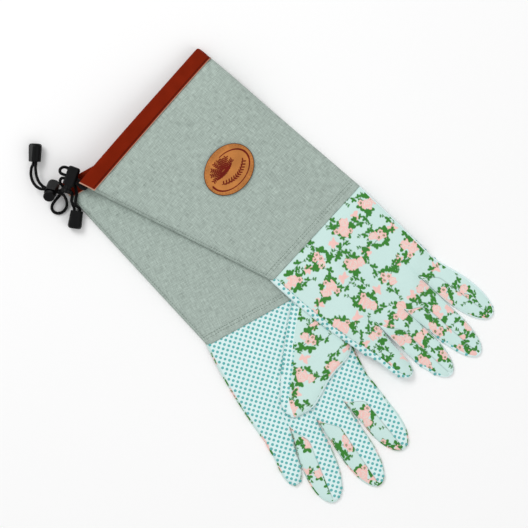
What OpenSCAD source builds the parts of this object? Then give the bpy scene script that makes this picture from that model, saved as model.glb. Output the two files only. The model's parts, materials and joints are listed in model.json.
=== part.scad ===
// A pair of long-cuffed gardening gloves. The left glove lies palm up on the floor and the right glove
// lies back up across it. Each glove is drawn in its own frame: +Y to the fingertips, +X to the little
// finger, the origin at the middle of the wrist seam, and then placed on its heading.

/* [Cuff] */
// Width across the wrist seam, lying flat
wrist_w = 130; // [124:1:134]
// Length from the wrist seam to the mouth
cuff_len = 206; // [190:1:210]
// Width of the rust band round the mouth
band_w = 16.7; // [12:0.1:20]
// Total height of the cuff at its mouth, lying flat
mouth_h = 13.6; // [13:0.1:15]
// Total height of the cuff at the wrist, lying flat
wrist_h = 7; // [6:0.1:8]

/* [Hand] */
// Thickness of one layer of cloth
cloth = 1; // [0.6:0.1:1.2]
// Total height of the hand and fingers
hand_h = 6; // [5:0.1:7]
// Total height of the folded thumb
thumb_h = 4; // [3:0.1:4.5]
// Width of the dotted strip that shows beside the thumb
thumb_strip = 4; // [2:0.5:6]

/* [Drawcord] */
// Diameter of the elastic cord
cord_d = 3; // [2.4:0.1:3.2]
// Length of a cord end cap
end_len = 18; // [15:0.5:22]
// Width of a cord end cap
end_w = 14; // [12:0.5:15]

/* [Cord lock] */
// Radius of the barrel
lock_r = 6.2; // [6:0.1:6.8]
// Thickness of the barrel across its flats
lock_flat = 9.6; // [9:0.1:10.5]
// Length of the barrel
barrel_len = 19.5; // [19:0.5:21]
// Travel of the plunger
press = 3.2; // [2:0.1:3.2]

/* [Badge] */
// Long and short width of the oval leather patch
badge_size = [56, 45]; // [40:1:64]
// Thickness of the leather
badge_t = 1.6; // [1:0.1:2.5]

/* [Hidden] */

canvas_col = "#A5B2AB";
band_col = "#80240F";
floral_col = "#C9E3DE";
dots_col = "#A8D8D6";
black_col = "#1A1A1C";
leather_col = "#B87840";

// Each glove: [wrist centre, heading of the fingers, x of the mouth's corner on the little finger's side
// and how far it stands in from the cuff's length, roots of the fingers from index to little finger,
// fingertips, half widths of the fingers]
LEFT = [
  [-15, -36.5], -61, [116, -3],
  [[-61, 104], [-28, 118], [5, 120], [32, 113], [61, 116]],
  [[-58, 188], [-19, 208], [29, 201], [54, 168]], [17, 17, 17.5, 11]
];
RIGHT = [
  [36, 43.5], -42.5, [122.5, 2],
  [[-62, 104], [-38, 107], [-4, 119], [25, 109], [57, 112]],
  [[-58.5, 188], [-22, 205], [12, 198], [40, 169]], [15.6, 16, 15.6, 11]
];
mouth_thumb_x = -58;
rows = 6;         // grid rows along the hand and along each finger
columns = 3;      // grid columns across each finger
root_rise = 0.8;  // how much higher the cloth stands along the fingers' roots
root_share = 0.94; // share of a finger's root that its panel takes; the rest is the crotch
split = 0.52;     // share of a finger's width before the fourchette's seam
edge_r = 9;       // how far from a side seam the cloth reaches full height
wall = 0.6;       // one skin of the casing
casing_h = cord_d + 2 * wall;
clear = 0.3;      // air between the two gloves
cuff_rows = 8;

// ---------- small functions ----------
function lerp(a, b, t) = a + (b - a) * t;
function clamp01(t) = max(0, min(1, t));
function ease(t) = let (c = clamp01(t)) c * c * (3 - 2 * c);
function dome(e) = sqrt(1 - pow(1 - clamp01(e), 2));
function unit(v) = v / norm(v);
function turn(p, a) = [p[0] * cos(a) - p[1] * sin(a), p[0] * sin(a) + p[1] * cos(a)];
function to_world(g, p) = turn(p, g[1] - 90) + g[0];
function to_glove(g, p) = turn(p - g[0], 90 - g[1]);
function is_right(g) = g[1] == RIGHT[1];

// ---------- how the gloves lie ----------
// Total height of a cuff at y, which grows from the wrist to the mouth
function cuff_h(y) = lerp(wrist_h, mouth_h, clamp01(-y / cuff_len));

// Floor height under the right glove: it rides over the left glove, then falls to the floor beside it
function ride_h(p) = let (
    q = to_glove(LEFT, p),
    over_cuff = cuff_h(q[1]) + clear + 0.7 * ease((-q[1] - 150) / 30),
    over = lerp(over_cuff, hand_h + thumb_h + 3 * clear, ease((q[1] + 40) / 36)),
    beside = 1 - ease((-66 - 8 - q[0]) / 44),
    beyond = 1 - ease((-cuff_len - 12 - q[1]) / 46)
  ) over * beside * beyond;

// Extra height of the right glove's hand over its own thumb, folded under it
function thumb_lift(q) = let (
    a = [-52, 34], b = [6, 92],
    t = clamp01(((q - a) * (b - a)) / ((b - a) * (b - a))),
    away = norm(q - lerp(a, b, t)) - lerp(44, 30, t)
  ) (thumb_h + clear) * (1 - ease(away / 26)) * ease(q[1] / 22 + 0.35);

// Lowest height of glove g at its own point q; over_thumb is 1 for its hand and cuff, 0 for its thumb
function rest_h(g, q, over_thumb) =
  is_right(g) ? ride_h(to_world(g, q)) + over_thumb * thumb_lift(q) : 0;

// ---------- cloth solids ----------
// A closed sheet of the cloth's thickness over a grid of points; a point is [x, y, height of its top]
module cloth_grid(g, grid, over_thumb, thick = cloth) {
  n = len(grid);
  m = len(grid[0]);
  flat = [for (row = grid) for (p = row) p];
  low = [for (p = flat) [p[0], p[1], p[2] - thick + rest_h(g, [p[0], p[1]], over_thumb)]];
  top = [for (p = low) p + [0, 0, thick]];
  k = n * m;
  function id(i, j) = i * m + j;
  rim = concat([for (j = [0 : m - 1]) id(0, j)], [for (i = [1 : n - 1]) id(i, m - 1)],
    [for (j = [m - 2 : -1 : 0]) id(n - 1, j)], [for (i = [n - 2 : -1 : 1]) id(i, 0)]);
  polyhedron(
    concat(top, low),
    concat(
      [for (i = [0 : n - 2], j = [0 : m - 2]) each [
        [id(i, j), id(i + 1, j), id(i + 1, j + 1)], [id(i, j), id(i + 1, j + 1), id(i, j + 1)],
        [k + id(i, j), k + id(i + 1, j + 1), k + id(i + 1, j)],
        [k + id(i, j), k + id(i, j + 1), k + id(i + 1, j + 1)]]],
      [for (r = [0 : len(rim) - 1]) let (a = rim[r], b = rim[(r + 1) % len(rim)]) each [
        [a, b, k + b], [a, k + b, k + a]]]));
}

module place(g) translate([g[0][0], g[0][1], 0]) rotate(g[1] - 90) children();

// ---------- cuff ----------
function cuff_edge(g, side, t) = side < 0
  ? [lerp(-wrist_w / 2, mouth_thumb_x, t), lerp(0, -cuff_len - 3, t)]
  : [lerp(wrist_w / 2, g[2][0], t), lerp(0, -cuff_len + g[2][1], t)];

// Point of the cuff at share t from wrist to mouth and share u from thumb side to little finger
function cuff_at(g, u, t) = lerp(cuff_edge(g, -1, t), cuff_edge(g, 1, t), u);
function cuff_u(i) = [0, 0.02, 0.06, 0.2, 0.4, 0.6, 0.8, 0.94, 0.98, 1][i];
function cuff_top(g, u, t) = let (q = cuff_at(g, u, t), w = norm(cuff_at(g, 1, t) - cuff_at(g, 0, t)))
  2 * cloth + (cuff_h(q[1]) - 2 * cloth) * dome(min(u, 1 - u) * w / edge_r);
canvas_share = 1 - band_w / cuff_len;

module cuff_half(g, upper) {
  grid = [for (j = [0 : cuff_rows]) [for (i = [0 : 9]) let (
      t = canvas_share * j / cuff_rows, q = cuff_at(g, cuff_u(i), t))
    [q[0], q[1], upper ? cuff_top(g, cuff_u(i), t) : cloth]]];
  color(canvas_col) place(g) cloth_grid(g, grid, 1);
}

// ---------- casing round the mouth ----------
// Middle of the casing at share s of its loop: along the upper side, round the thumb's side, back below
loop_r = (mouth_h - casing_h) / 2;
turn_steps = 6;
loop_cols = 18;
function loop_uz(w) = let (inset = (loop_r + casing_h / 2) / w) concat(
    [for (i = [loop_cols : -1 : 0]) [lerp(inset, 1 - 0.02, i / loop_cols), 1, 90]],
    [for (i = [1 : turn_steps - 1]) let (a = 90 + 180 * i / turn_steps) [inset + loop_r * cos(a) / w, sin(a), a]],
    [for (i = [0 : loop_cols]) [lerp(inset, 1 - 0.02, i / loop_cols), -1, 270]]);

module casing(g) {
  w = g[2][0] - mouth_thumb_x;
  line = loop_uz(w);
  h = casing_h / 2;
  section = [[-h, 0], [-h, 1], [h, 1], [h, 0],
    [h - wall, 0], [h - wall, casing_deep], [wall - h, casing_deep], [wall - h, 0]];
  rings = [for (c = line) [for (s = section) let (
      t = canvas_share + s[1] * band_w / cuff_len,
      q = cuff_at(g, c[0] + s[0] * cos(c[2]) / w, t),
      low = rest_h(g, cuff_at(g, c[0], t), 0))
    [q[0], q[1], low + mouth_h / 2 + c[1] * loop_r + s[0] * sin(c[2])]]];
  color(band_col) place(g) tube_of(rings, [[0, 1, 6, 7], [1, 2, 5, 6], [2, 3, 4, 5]]);
}

// A closed solid through rings of points, each ring in the same order; the ends are closed by the faces
// given, each of which names points of a ring
module tube_of(rings, ends) {
  n = len(rings);
  m = len(rings[0]);
  polyhedron(
    [for (r = rings) each r],
    concat(
      [for (i = [0 : n - 2], j = [0 : m - 1]) let (k = (j + 1) % m) each [
        [i * m + j, i * m + k, (i + 1) * m + k], [i * m + j, (i + 1) * m + k, (i + 1) * m + j]]],
      [for (e = ends) [for (j = [len(e) - 1 : -1 : 0]) e[j]]],
      [for (e = ends) [for (j = e) (n - 1) * m + j]]));
}

// ---------- hand and fingers ----------
function side_x(g, side, y) = let (t = clamp01(y / 110)) side < 0
  ? lerp(-wrist_w / 2, g[3][0][0], t)
  : lerp(wrist_w / 2, g[3][4][0], t) + 3 * sin(180 * t);
function tip_round(t) = max(0.24, t < 0.5 ? 1 : sqrt(max(0, 1 - pow((t - 0.5) * 2, 2.3))));
function row_t(i) = i == 0 ? 0 : sin(90 * (i + 0.35) / (rows + 0.35));

// Point of finger f of glove g at share u across and t along it
function finger_at(g, f, u, t) = let (
    a = g[3][f], b = g[3][f + 1], mid = (a + b) / 2, tip = g[4][f],
    along = unit(tip - mid), across = [along[1], -along[0]],
    n = unit(lerp(unit(b - a), across, min(1, 3 * t))),
    half = lerp(norm(b - a) / 2, g[5][f], ease(2 * t)) * tip_round(t)
  ) lerp(mid, tip, t) + n * half * (2 * u - 1);
function puff(u, t) = pow(max(0, sin(180 * clamp01(u))), 0.6) * lerp(1, tip_round(t), 0.7);
function panel_end(f, t, seam) = f == 3 ? 1 : lerp(root_share, seam, ease(t * 4));

// Height of the upper layer over the hand at its own point q
function hand_top(g, q) = let (
    e = min(q[0] - side_x(g, -1, q[1]), side_x(g, 1, q[1]) - q[0]))
  2 * cloth + (hand_h - 2 * cloth) * dome(e / edge_r);
function finger_top(u, t) = 2 * cloth + (hand_h - 2 * cloth) * puff(u, t);

// Points of a panel: the hand's rows run over all four fingers' roots, and each finger has rows of its own
module panel(g, upper, seam, shade) {
  m = 4 * (columns + 1);
  hand = [for (i = [0 : rows]) [for (f = [0 : 3], j = [0 : columns]) let (
      root = finger_at(g, f, j / columns * panel_end(f, 0, 1), 0),
      foot = [lerp(-wrist_w / 2, wrist_w / 2, (root[0] - g[3][0][0]) / (g[3][4][0] - g[3][0][0])), 0],
      bulge = [3 * sin(180 * i / rows) * max(0, root[0] / g[3][4][0]), 0],
      q = lerp(foot, root, i / rows) + bulge,
      u = j / columns * panel_end(f, 0, 1),
      top = lerp(hand_top(g, q), finger_top(u, 0) + root_rise, pow(i / rows, 4)))
    [q[0], q[1], upper ? top : cloth]]];
  fingers = [for (f = [0 : 3]) [for (i = [1 : rows]) [for (j = [0 : columns]) let (
      t = row_t(i), u = j / columns * panel_end(f, t, seam), q = finger_at(g, f, u, t))
    [q[0], q[1], upper ? finger_top(u, t) : cloth]]]];
  flat = concat([for (row = hand) each row], [for (finger = fingers) for (row = finger) each row]);
  low = [for (p = flat) [p[0], p[1], p[2] - cloth + rest_h(g, [p[0], p[1]], 1)]];
  top = [for (p = low) p + [0, 0, cloth]];
  k = len(flat);
  hand_n = (rows + 1) * m;
  c = columns + 1;
  function hid(i, j) = i * m + j;
  function fid(f, i, j) = i == 0 ? hid(rows, f * c + j) : hand_n + (f * rows + i - 1) * c + j;
  quads = concat(
    [for (i = [0 : rows - 1], j = [0 : m - 2]) [hid(i, j), hid(i + 1, j), hid(i + 1, j + 1), hid(i, j + 1)]],
    [for (f = [0 : 3], i = [0 : rows - 1], j = [0 : columns - 1])
      [fid(f, i, j), fid(f, i + 1, j), fid(f, i + 1, j + 1), fid(f, i, j + 1)]]);
  rim = concat(
    [for (j = [0 : m - 1]) hid(0, j)],
    [for (i = [1 : rows]) hid(i, m - 1)],
    [for (f = [3 : -1 : 0]) each concat(
      f < 3 ? [fid(f, 0, columns)] : [],
      [for (i = [1 : rows]) fid(f, i, columns)],
      [for (j = [columns - 1 : -1 : 0]) fid(f, rows, j)],
      [for (i = [rows - 1 : -1 : f > 0 ? 0 : 1]) fid(f, i, 0)])],
    [for (i = [rows : -1 : 1]) hid(i, 0)]);
  color(shade) place(g) polyhedron(
    concat(top, low),
    concat(
      [for (q = quads) each [
        [q[0], q[1], q[2]], [q[0], q[2], q[3]],
        [k + q[0], k + q[2], k + q[1]], [k + q[0], k + q[3], k + q[2]]]],
      [for (r = [0 : len(rim) - 1]) let (a = rim[r], b = rim[(r + 1) % len(rim)]) each [
        [a, b, k + b], [a, k + b, k + a]]]));
}

module fourchette(g, f) {
  grid = [for (i = [0 : rows]) [for (j = [0 : 2]) let (
      t = row_t(i), start = panel_end(f, t, split) + 0.004, u = lerp(start, 0.985, j / 2),
      q = finger_at(g, f, u, t))
    [q[0], q[1], finger_top(u, t)]]];
  color(floral_col) place(g) cloth_grid(g, grid, 1);
}

// ---------- thumb, folded flat across the palm ----------
thumb_low = [[-40, 2], [-20, 24], [1, 52], [19, 79], [27, 97], [27, 105]];
thumb_high = [[-65, 4], [-64, 40], [-60, 75], [-28, 90], [-2, 106], [18, 111]];

pressed = 1.2;             // how much flatter the right thumb lies, under its own hand
function thumb_row(g, rows, i) = is_right(g) && i == 0 ? lerp(rows[0], rows[1], 0.5) : rows[i];

module thumb(g, outer, shade) {
  tall_h = is_right(g) ? thumb_h - pressed : thumb_h;
  bed = is_right(g) ? 0 : hand_h + clear;
  apart = is_right(g) ? clear : 0;
  shift = outer ? [0, 0] : thumb_strip * [0.8, -0.55];
  grid = [for (i = [0 : 5]) [for (j = [0 : 4]) let (
      u = j / 4,
      q = lerp(thumb_row(g, thumb_high, i), thumb_row(g, thumb_low, i) + shift, u),
      rise = outer ? lerp(cloth + apart, tall_h - cloth, sin(180 * u)) : 0)
    [q[0], q[1], bed + (is_right(g) ? tall_h - rise : cloth + rise)]]];
  color(shade) place(g) cloth_grid(g, grid, 0);
}

// ---------- cords ----------
// A straight-sided tube through the points of a route, with 8 sides
module cord(route, size = cord_d) {
  n = len(route);
  way = [for (i = [0 : n - 1]) unit(route[min(n - 1, i + 1)] - route[max(0, i - 1)])];
  side = [for (w = way) let (s = cross(w, [0, 0, 1])) norm(s) < 0.2 ? [1, 0, 0] : unit(s)];
  rings = [for (i = [0 : n - 1]) let (up = cross(side[i], way[i]))
    [for (k = [0 : 7]) let (a = 45 * k + 22.5) route[i] + (side[i] * cos(a) + up * sin(a)) * size / 2]];
  color(black_col) tube_of(rings, [[for (k = [0 : 7]) k]]);
}

// The cord's run inside the casing, as points in the world frame
casing_mid = 0.52;
casing_deep = 0.95;
casing_share = canvas_share + casing_mid * band_w / cuff_len;
function casing_run(g) = let (w = g[2][0] - mouth_thumb_x) [for (c = loop_uz(w)) let (
    rest = [for (s = [0, casing_deep]) rest_h(g, cuff_at(g, c[0], canvas_share + s * band_w / cuff_len), 0)],
    p = to_world(g, cuff_at(g, c[0], casing_share)))
  [p[0], p[1], lerp(rest[0], rest[1], casing_mid / casing_deep) + mouth_h / 2 + c[1] * loop_r]];

// A point on a lock, s along its axis and x across it, for a lock [point at its closed end, heading, tilt]
function lock_at(l, s, x) = l[0] + s * [cos(l[1]) * cos(l[2]), sin(l[1]) * cos(l[2]), sin(l[2])]
  + x * [-sin(l[1]), cos(l[1]), 0];
// A point at a cord end's mouth for a cap [middle of its mouth, heading, roll], side -1 or 1
function end_at(c, side, deep) = c[0] + deep * [cos(c[1]), sin(c[1]), 0]
  + side * hole_x * [-sin(c[1]) * cos(c[2]), cos(c[1]) * cos(c[2]), sin(c[2])];

LEFT_LOCK = [[-223.2, 91.7, 3.2], -102.5, 58];
RIGHT_LOCK = [[-200.5, 107.5, 22.6], -110.3, 0];
LEFT_END = [[-242, 113.5, 7.2], 88, -60];
RIGHT_END = [[-200.2, 64.6, 5.1], -98, 0];

strand_s = [10.9, 14.3];   // where the two strands cross a lock, from its closed end
slot_s = [9.2, 16];        // the cross slot in a barrel
slot_h = 3.6;
hole_x = 2.8;              // half the distance between a cord end's holes
hole_deep = 8;
strand_gap = 0.5;          // between a cord's end in the casing and its free strand
bore_r = 4;
end_flat = 10;             // a cord end's thickness
bore_gap = 0.08;
end_wall = 2;
plunger_s = 7.6;           // where the plunger's inner face rests
head_gap = press + 0.3;
head_len = 4.4;
head_r = 5.6;

// Free ends of the cords, from the casing to the lock and from the lock to the cord end
LEFT_A_IN = [
  [-213.6, 84.2, 2], [-216.6, 81.4, 1.8], [-219.6, 78, 1.8], [-222.6, 74.3, 1.8], [-225, 70.4, 1.8],
  [-225.3, 66.4, 1.8],
  [-222.6, 63.1, 1.8], [-218.3, 62.2, 1.8], [-213.9, 64, 1.8], [-211, 68, 2.6], [-210.2, 72.4, 5.2],
  [-211, 76.8, 9],
  [-213.2, 80.4, 12.8]
];
LEFT_A_OUT = [[-236, 86.4, 14], [-240.6, 89.4, 11.4], [-244.2, 94.4, 8], [-246, 101, 5.6], [-245.4, 107.6, 4.9]];
LEFT_B_IN = [[-213.8, 84.8, 11.8]];
LEFT_B_OUT = [[-235, 90.2, 12], [-238.2, 94.6, 11.2], [-240.2, 100.6, 10.2], [-241, 107.4, 9.7]];
RIGHT_A_IN = [[-191, 86.2, 16.6], [-194.6, 87, 19]];
RIGHT_A_OUT = [[-214.9, 95.4, 21.8], [-215.4, 91.8, 19], [-212.8, 88.4, 16.2], [-208.8, 86.2, 15.2],
  [-205.2, 83.2, 15.2], [-204, 79.2, 15.2], [-204.9, 74.8, 11.6], [-204, 70.2, 6.8]];
RIGHT_B_IN = [[-190.6, 85.9, 25.5], [-193.8, 88.4, 24.6]];
RIGHT_B_OUT = [[-214.8, 101.6, 22], [-215.6, 105, 20], [-212.8, 107.6, 17.6], [-208.4, 106.8, 15.9],
  [-204.8, 102.6, 15.6], [-202.8, 97, 15.6], [-201.4, 91.4, 15.6], [-200.3, 86, 15.6], [-199.5, 81, 15.6],
  [-200.2, 76.6, 15.2], [-201.3, 70.6, 9.2]];

function strand(run_end, into, l, which, out, c, side) = concat(
  [run_end + strand_gap * unit(into[0] - run_end)], into, [for (x = [7, 0, -7]) lock_at(l, strand_s[which], x)], out,
  [end_at(c, side, -1.5), end_at(c, side, hole_deep - 0.1)]);
function first(list) = list[0];
function last(list) = list[len(list) - 1];

// ---------- cord lock, drawn along +Z from its closed end and then laid on its axis ----------
module lay_lock(l) translate(l[0]) rotate(l[1]) rotate([0, 90 - l[2], 0]) children();

module lock_barrel(l) {
  color(black_col) lay_lock(l) difference() {
    intersection() {
      rotate_extrude($fn = 40) barrel_profile();
      translate([-lock_flat / 2, -lock_r - 1, 0]) cube([lock_flat, 2 * lock_r + 2, barrel_len]);
    }
    translate([0, 0, end_wall]) cylinder(r = bore_r, h = barrel_len, $fn = 40);
    translate([-slot_h / 2, -lock_r - 1, slot_s[0]]) cube([slot_h, 2 * lock_r + 2, slot_s[1] - slot_s[0]]);
  }
}

// Half section of the barrel: a rounded closed end and a thin lip at the open one
module barrel_profile() {
  round_r = 2.5;
  square([lock_r - round_r, barrel_len]);
  translate([0, round_r]) square([lock_r, barrel_len - round_r]);
  translate([lock_r - round_r, round_r]) circle(r = round_r, $fn = 24);
}

module lock_plunger(l) {
  stem_r = bore_r - bore_gap;
  head_s = barrel_len + head_gap;
  color(black_col) lay_lock(l) difference() {
    union() {
      translate([0, 0, plunger_s]) cylinder(r = stem_r, h = head_s - plunger_s + 1, $fn = 40);
      translate([0, 0, head_s]) rotate_extrude($fn = 40) {
        square([head_r - 1, head_len]);
        translate([0, 1]) square([head_r, head_len - 2]);
        translate([head_r - 1, 1]) circle(r = 1, $fn = 20);
        translate([head_r - 1, head_len - 1]) circle(r = 1, $fn = 20);
      }
    }
    translate([-slot_h / 2, -bore_r - 1, slot_s[0]]) cube([slot_h, 2 * bore_r + 2, slot_s[1] + press - slot_s[0]]);
  }
}

module lock_spring(l) {
  spring_r = bore_r - 0.6;
  color("#B8BABD") lay_lock(l) translate([0, 0, end_wall]) difference() {
    cylinder(r = spring_r, h = plunger_s - end_wall, $fn = 32);
    translate([0, 0, -1]) cylinder(r = spring_r - 0.8, h = plunger_s, $fn = 32);
  }
}

// ---------- cord end: a flat-sided cap with a blind hole for each strand ----------
module cord_end(c) {
  mouth_r = end_w / 2 - 0.8;
  color(black_col) translate(c[0]) rotate(c[1]) rotate([0, 90, 0]) rotate(c[2]) difference() {
    intersection() {
      rotate_extrude($fn = 40) polygon([
        [0, 0], [mouth_r - 0.4, 0], [mouth_r, 0.5], [end_w / 2, end_len - 3.5],
        for (a = [0 : 15 : 90]) [end_w / 2 - 3 + 3 * cos(a), end_len - 3 + 3 * sin(a)], [0, end_len]]);
      translate([-end_flat / 2, -end_w, 0]) cube([end_flat, 2 * end_w, end_len]);
    }
    for (side = [-1, 1]) translate([0, side * hole_x, -1]) cylinder(r = cord_d / 2 + 0.1, h = hole_deep + 1, $fn = 24);
  }
}

// ---------- leather patch on the right cuff, laid on the slope of the cloth ----------
badge_at = [11.4, -103.5];
badge_turn = 182.8;
badge_reach = [27, 22];    // how far along and across the cuff its slope is measured
function badge_bed(x, y) = let (q = badge_at + [x, y]) rest_h(RIGHT, q, 1) + cuff_h(q[1]);
module badge() {
  slope_x = (badge_bed(badge_reach[0], 0) - badge_bed(-badge_reach[0], 0)) / badge_reach[0] / 2;
  slope_y = (badge_bed(0, badge_reach[1]) - badge_bed(0, -badge_reach[1])) / badge_reach[1] / 2;
  color(leather_col) place(RIGHT) translate([badge_at[0], badge_at[1], badge_bed(0, 0) + 2 * clear])
    multmatrix([[1, 0, 0, 0], [0, 1, 0, 0], [slope_x, slope_y, 1, 0], [0, 0, 0, 1]]) rotate(badge_turn)
      linear_extrude(badge_t)
        polygon([for (a = [0 : 7.5 : 359]) [badge_size[0] / 2 * cos(a), badge_size[1] / 2 * sin(a)]]);
}

cuff_half(LEFT, false);  // left_cuff_back
cuff_half(LEFT, true);  // left_cuff_palm
casing(LEFT);  // left_cuff_binding
panel(LEFT, false, 1, floral_col);  // left_back_panel
panel(LEFT, true, split, dots_col);  // left_palm_panel
fourchette(LEFT, 0);  // left_fourchette_index
fourchette(LEFT, 1);  // left_fourchette_middle
fourchette(LEFT, 2);  // left_fourchette_ring
thumb(LEFT, true, floral_col);  // left_thumb_back
thumb(LEFT, false, dots_col);  // left_thumb_palm
cord(casing_run(LEFT), cord_d - 0.5);  // left_drawcord
cord(strand(last(casing_run(LEFT)), LEFT_A_IN, LEFT_LOCK, 1, LEFT_A_OUT, LEFT_END, 1));  // left_cord_strand_a
cord(strand(first(casing_run(LEFT)), LEFT_B_IN, LEFT_LOCK, 0, LEFT_B_OUT, LEFT_END, -1));  // left_cord_strand_b
lock_barrel(LEFT_LOCK);  // left_lock_barrel
lock_plunger(LEFT_LOCK);  // left_lock_plunger
lock_spring(LEFT_LOCK);  // left_lock_spring
cord_end(LEFT_END);  // left_cord_end
cuff_half(RIGHT, true);  // right_cuff_back
cuff_half(RIGHT, false);  // right_cuff_palm
casing(RIGHT);  // right_cuff_binding
panel(RIGHT, true, split, floral_col);  // right_back_panel
panel(RIGHT, false, 1, dots_col);  // right_palm_panel
fourchette(RIGHT, 0);  // right_fourchette_index
fourchette(RIGHT, 1);  // right_fourchette_middle
fourchette(RIGHT, 2);  // right_fourchette_ring
thumb(RIGHT, true, floral_col);  // right_thumb_back
thumb(RIGHT, false, dots_col);  // right_thumb_palm
cord(casing_run(RIGHT), cord_d - 0.5);  // right_drawcord
cord(strand(last(casing_run(RIGHT)), RIGHT_A_IN, RIGHT_LOCK, 1, RIGHT_A_OUT, RIGHT_END, -1));  // right_cord_strand_a
cord(strand(first(casing_run(RIGHT)), RIGHT_B_IN, RIGHT_LOCK, 0, RIGHT_B_OUT, RIGHT_END, 1));  // right_cord_strand_b
lock_barrel(RIGHT_LOCK);  // right_lock_barrel
lock_plunger(RIGHT_LOCK);  // right_lock_plunger
lock_spring(RIGHT_LOCK);  // right_lock_spring
cord_end(RIGHT_END);  // right_cord_end
badge();  // right_badge
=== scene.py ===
"""Looks of the gardening gloves: cloth, printed cotton, grip dots, stitching, badge, cords and hardware.

Lengths are in millimetres. In a glove's own frame +Y runs to the fingertips and +X across the hand.
Meshes are made in the row frame, in metres.
"""
import itertools
import json
from math import cos, pi, radians, sin

import bpy
import numpy as np
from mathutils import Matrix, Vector, kdtree
from numpy import array, clip, concatenate, linspace, meshgrid, minimum, stack
from numpy.linalg import norm


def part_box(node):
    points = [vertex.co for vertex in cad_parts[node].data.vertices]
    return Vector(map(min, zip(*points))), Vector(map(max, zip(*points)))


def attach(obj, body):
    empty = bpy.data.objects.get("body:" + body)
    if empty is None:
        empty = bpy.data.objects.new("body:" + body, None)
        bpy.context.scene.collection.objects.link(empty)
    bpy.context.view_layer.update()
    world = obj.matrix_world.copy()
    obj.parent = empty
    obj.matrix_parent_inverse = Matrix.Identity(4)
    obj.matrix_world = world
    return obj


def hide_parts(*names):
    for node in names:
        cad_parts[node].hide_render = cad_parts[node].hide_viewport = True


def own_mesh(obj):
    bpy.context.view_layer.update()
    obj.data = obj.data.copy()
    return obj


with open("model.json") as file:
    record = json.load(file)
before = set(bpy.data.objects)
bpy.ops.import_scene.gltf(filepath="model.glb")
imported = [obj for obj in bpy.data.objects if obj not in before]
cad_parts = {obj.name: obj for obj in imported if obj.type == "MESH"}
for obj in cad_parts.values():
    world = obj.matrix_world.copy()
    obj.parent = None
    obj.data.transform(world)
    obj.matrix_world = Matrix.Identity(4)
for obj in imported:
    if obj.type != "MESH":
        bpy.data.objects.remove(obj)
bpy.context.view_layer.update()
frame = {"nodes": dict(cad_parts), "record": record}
scene = bpy.context.scene
MM = 0.001
TAU = 2 * pi
mounts = {m["name"]: m for m in frame["record"]["mounts"]}

# ---------- dimensions shared with the CAD part ----------
WRIST_W, CUFF_LEN, BAND_W, MOUTH_H, WRIST_H = 130, 206, 16.7, 13.6, 7
CLOTH, HAND_H, THUMB_H, THUMB_STRIP = 1, 6, 4, 4
CORD_D, HOLE_X, HOLE_DEEP, MOUTH_THUMB_X = 3, 2.8, 8, -58
SPLIT, EDGE_R, WALL, CLEAR = 0.52, 9, 0.6, 0.3
CUFF_MOUNT, OVERLAP = 205, 3  # wrist to the cuff mouth's mount; how far the cuff reaches over the hand
CANVAS_SHARE = 1 - BAND_W / CUFF_LEN
CASING_H = CORD_D + 2 * WALL
LOOP_R = (MOUTH_H - CASING_H) / 2
THUMB_LOW = [(-40, 2), (-20, 24), (1, 52), (19, 79), (27, 97), (27, 105)]
THUMB_HIGH = [(-65, 4), (-64, 40), (-60, 75), (-28, 90), (-2, 106), (18, 111)]


class Glove:
    """One glove's place, from its cuff mount, and its cut."""

    def __init__(self, side, mouth_x, mouth_in, mount_x, roots, tips, halves):
        mount = mounts[side + "_cuff_mouth"]
        self.side = side
        self.ahead = -array(mount["axis"][:2])
        self.right = array([self.ahead[1], -self.ahead[0]])
        self.at = array(mount["pos_m"][:2]) / MM - self.right * mount_x + self.ahead * CUFF_MOUNT
        self.mouth = (mouth_x, mouth_in)
        self.roots, self.tips, self.halves = array(roots, float), array(tips, float), halves
        self.mouth_w = mouth_x - MOUTH_THUMB_X

    def world(self, x, y, z):
        """Points in the row frame from points of this glove."""
        p = self.at + np.multiply.outer(x, self.right) + np.multiply.outer(y, self.ahead)
        return concatenate([p, np.asarray(z, float)[..., None] + 0 * p[..., :1]], -1)

    def local(self, p):
        """This glove's x and y of points in the row frame."""
        d = p - self.at
        return d @ self.right, d @ self.ahead


LEFT = Glove("left", 116, -3, 28, [(-61, 104), (-28, 118), (5, 120), (32, 113), (61, 116)],
             [(-58, 188), (-19, 208), (29, 201), (54, 168)], (17, 17, 17.5, 11))
RIGHT = Glove("right", 122.5, 2, 32, [(-62, 104), (-38, 107), (-4, 119), (25, 109), (57, 112)],
              [(-58.5, 188), (-22, 205), (12, 198), (40, 169)], (15.6, 16, 15.6, 11))


# ---------- the same shape rules as the CAD part ----------
def lerp(a, b, t):
    return a + (b - a) * t


def unit(t):
    return clip(t, 0, 1)


def ease(t):
    c = unit(t)
    return c * c * (3 - 2 * c)


def dome(e):
    return np.sqrt(1 - (1 - unit(e)) ** 2)


def cuff_h(y):
    return lerp(WRIST_H, MOUTH_H, unit(-y / CUFF_LEN))


def ride_h(p):
    """How high the left glove lifts the right one."""
    x, y = LEFT.local(p)
    over_cuff = cuff_h(y) + CLEAR + 0.7 * ease((-y - 150) / 30)
    over = lerp(over_cuff, HAND_H + THUMB_H + 3 * CLEAR, ease((y + 40) / 36))
    return over * (1 - ease((-74 - x) / 44)) * (1 - ease((-CUFF_LEN - 12 - y) / 46))


def thumb_lift(x, y):
    """How far its folded thumb lifts the right glove."""
    a, b = array([-52.0, 34]), array([6.0, 92])
    q = stack([x, y], -1)
    t = clip(((q - a) @ (b - a)) / ((b - a) @ (b - a)), 0, 1)
    away = norm(q - (a + t[..., None] * (b - a)), axis=-1) - lerp(44, 30, t)
    return (THUMB_H + CLEAR) * (1 - ease(away / 26)) * ease(y / 22 + 0.35)


def rest_h(g, x, y, over_thumb):
    """Height of what a glove lies on, its own thumb included or not."""
    if g is LEFT:
        return 0 * x
    return ride_h(g.world(x, y, 0 * x)[..., :2]) + over_thumb * thumb_lift(x, y)


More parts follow.
